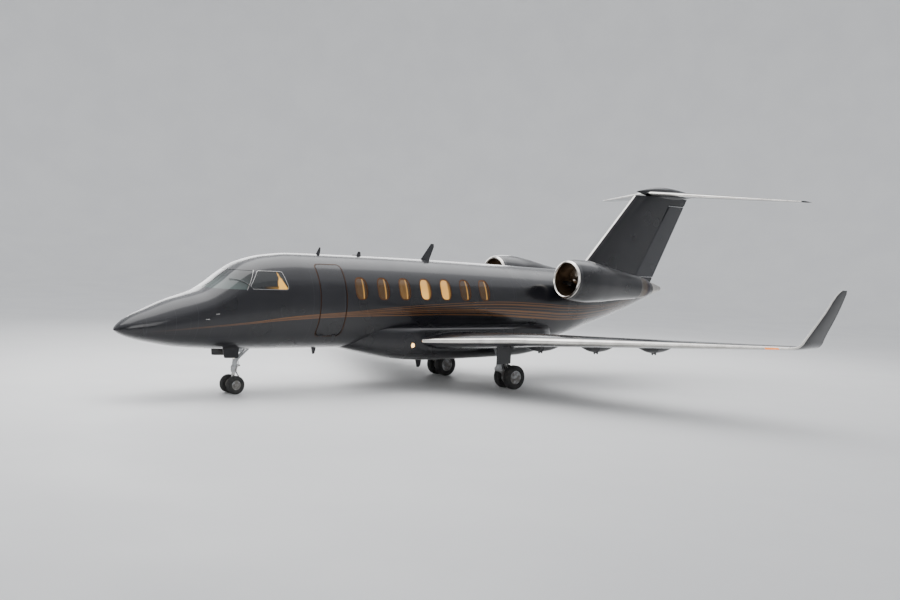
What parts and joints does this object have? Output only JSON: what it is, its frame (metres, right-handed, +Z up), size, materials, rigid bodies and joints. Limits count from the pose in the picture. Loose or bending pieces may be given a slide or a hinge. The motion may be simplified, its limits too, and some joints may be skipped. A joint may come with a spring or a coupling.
{
  "type": "business jet",
  "caption": "Business jet with rear-mounted engines, low swept wing, canted winglets, T-tail, oval cabin windows and folding airstair door, standing on its landing gear.",
  "frame": {"origin": "on the ground plane, half-way along and across the aircraft", "axes": "+X aft along the fuselage, +Y to starboard, +Z up"},
  "size_m": [20.93, 20.617, 6.1894],
  "materials": {
    "black_paint": "glossy near-black clear-coated paint",
    "grey_paint": "satin dark grey paint",
    "bright_metal": "polished bare leading edges and lips",
    "engine_metal": "heat-tinted bare metal",
    "gear_metal": "grey gear enamel",
    "fan_metal": "machined blades",
    "windscreen_glass": "dark tinted laminated panes",
    "cabin_glass": "panes with warm cabin light behind",
    "tyre_rubber": "matte black rubber",
    "cabin_trim": "brown carpet and upholstery"
  },
  "bodies": {
    "airframe": {"aft_body": "black_paint", "belly_fairing": "black_paint", "cabin_floor": "cabin_trim", "cabin_glass_left": "cabin_glass", "cabin_glass_right": "cabin_glass", "cabin_shell": "black_paint", "cockpit_glass_left": "windscreen_glass", "cockpit_glass_right": "windscreen_glass", "cockpit_shell": "black_paint", "engine_left": "engine_metal", "engine_right": "engine_metal", "fin": "black_paint", "inlet_lip_left": "bright_metal", "inlet_lip_right": "bright_metal", "main_leg_left": "gear_metal", "main_leg_right": "gear_metal", "nacelle_left": "black_paint", "nacelle_right": "black_paint", "nose": "black_paint", "nose_gear_door_left": "black_paint", "nose_gear_door_right": "black_paint", "nose_leg": "gear_metal", "nozzle_left": "engine_metal", "nozzle_right": "engine_metal", "pylon_left": "black_paint", "pylon_right": "black_paint", "radome": "black_paint", "tail_bullet": "black_paint", "tail_cone": "engine_metal", "tailplane_left": "black_paint", "tailplane_right": "black_paint", "wing_left": "black_paint", "wing_right": "black_paint", "winglet_left": "black_paint", "winglet_right": "black_paint"},
    "cabin_door": {"cabin_door": "black_paint"},
    "nose_steering": {"nose_fork": "gear_metal"},
    "nose_wheels": {"nose_wheels": "gear_metal", "nose_tyre_left": "tyre_rubber", "nose_tyre_right": "tyre_rubber"},
    "rudder": {"rudder": "grey_paint"},
    "main_wheels_left": {"main_wheels_left": "gear_metal", "main_tyre_left_outer": "tyre_rubber", "main_tyre_left_inner": "tyre_rubber"},
    "fan_left": {"fan_left": "fan_metal"},
    "flap_left": {"flap_left": "black_paint"},
    "aileron_left": {"aileron_left": "black_paint"},
    "elevator_left": {"elevator_left": "black_paint"},
    "main_wheels_right": {"main_wheels_right": "gear_metal", "main_tyre_right_outer": "tyre_rubber", "main_tyre_right_inner": "tyre_rubber"},
    "fan_right": {"fan_right": "fan_metal"},
    "flap_right": {"flap_right": "black_paint"},
    "aileron_right": {"aileron_right": "black_paint"},
    "elevator_right": {"elevator_right": "black_paint"}
  },
  "joints": [
    {"name": "door_swing", "type": "hinge", "parent": "airframe", "child": "cabin_door", "pos_m": [-5.21, -0.871, 1.5], "axis": [1, 0, 0], "range_deg": [0, 130]},
    {"name": "nose_steer", "type": "hinge", "parent": "airframe", "child": "nose_steering", "pos_m": [-7.33, 0, 0.62], "axis": [0.0952, 0, 0.9955], "range_deg": [-60, 60]},
    {"name": "nose_spin", "type": "hinge", "parent": "nose_steering", "child": "nose_wheels", "pos_m": [-7.365, 0, 0.2285], "axis": [0, 1, 0], "continuous": true},
    {"name": "rudder_swing", "type": "hinge", "parent": "airframe", "child": "rudder", "pos_m": [7.09066, 0, 3.2], "axis": [0.5396, 0, 0.8419], "range_deg": [-25, 25]},
    {"name": "main_spin_left", "type": "hinge", "parent": "airframe", "child": "main_wheels_left", "pos_m": [0.475, -1.55, 0.336], "axis": [0, 1, 0], "continuous": true},
    {"name": "fan_spin_left", "type": "hinge", "parent": "airframe", "child": "fan_left", "pos_m": [2.90412, -1.63, 3.08035], "axis": [0.9982, 0, -0.0593], "continuous": true},
    {"name": "flap_swing_left", "type": "hinge", "parent": "airframe", "child": "flap_left", "pos_m": [0.87047, -2.35, 1.10225], "axis": [-0.2111, 0.9734, -0.0886], "range_deg": [0, 35]},
    {"name": "aileron_swing_left", "type": "hinge", "parent": "airframe", "child": "aileron_left", "pos_m": [1.76519, -6.55, 1.73418], "axis": [-0.2746, 0.9595, -0.0635], "range_deg": [-22, 22]},
    {"name": "elevator_swing_left", "type": "hinge", "parent": "airframe", "child": "elevator_left", "pos_m": [8.77704, -0.36, 5.9457], "axis": [-0.3584, 0.9333, 0.0241], "range_deg": [-25, 18]},
    {"name": "main_spin_right", "type": "hinge", "parent": "airframe", "child": "main_wheels_right", "pos_m": [0.475, 1.55, 0.336], "axis": [0, 1, 0], "continuous": true},
    {"name": "fan_spin_right", "type": "hinge", "parent": "airframe", "child": "fan_right", "pos_m": [2.90412, 1.63, 3.08035], "axis": [0.9982, 0, -0.0593], "continuous": true},
    {"name": "flap_swing_right", "type": "hinge", "parent": "airframe", "child": "flap_right", "pos_m": [0.87047, 2.35, 1.10225], "axis": [0.2111, 0.9734, 0.0886], "range_deg": [0, 35]},
    {"name": "aileron_swing_right", "type": "hinge", "parent": "airframe", "child": "aileron_right", "pos_m": [1.76519, 6.55, 1.73418], "axis": [0.2746, 0.9595, 0.0635], "range_deg": [-22, 22]},
    {"name": "elevator_swing_right", "type": "hinge", "parent": "airframe", "child": "elevator_right", "pos_m": [8.77704, 0.36, 5.9457], "axis": [0.3584, 0.9333, -0.0241], "range_deg": [-25, 18]}
  ],
  "couplings": [
    {"joint": "elevator_swing_right", "follows": "elevator_swing_left", "ratio": 1},
    {"joint": "aileron_swing_right", "follows": "aileron_swing_left", "ratio": -1},
    {"joint": "flap_swing_right", "follows": "flap_swing_left", "ratio": 1}
  ]
}
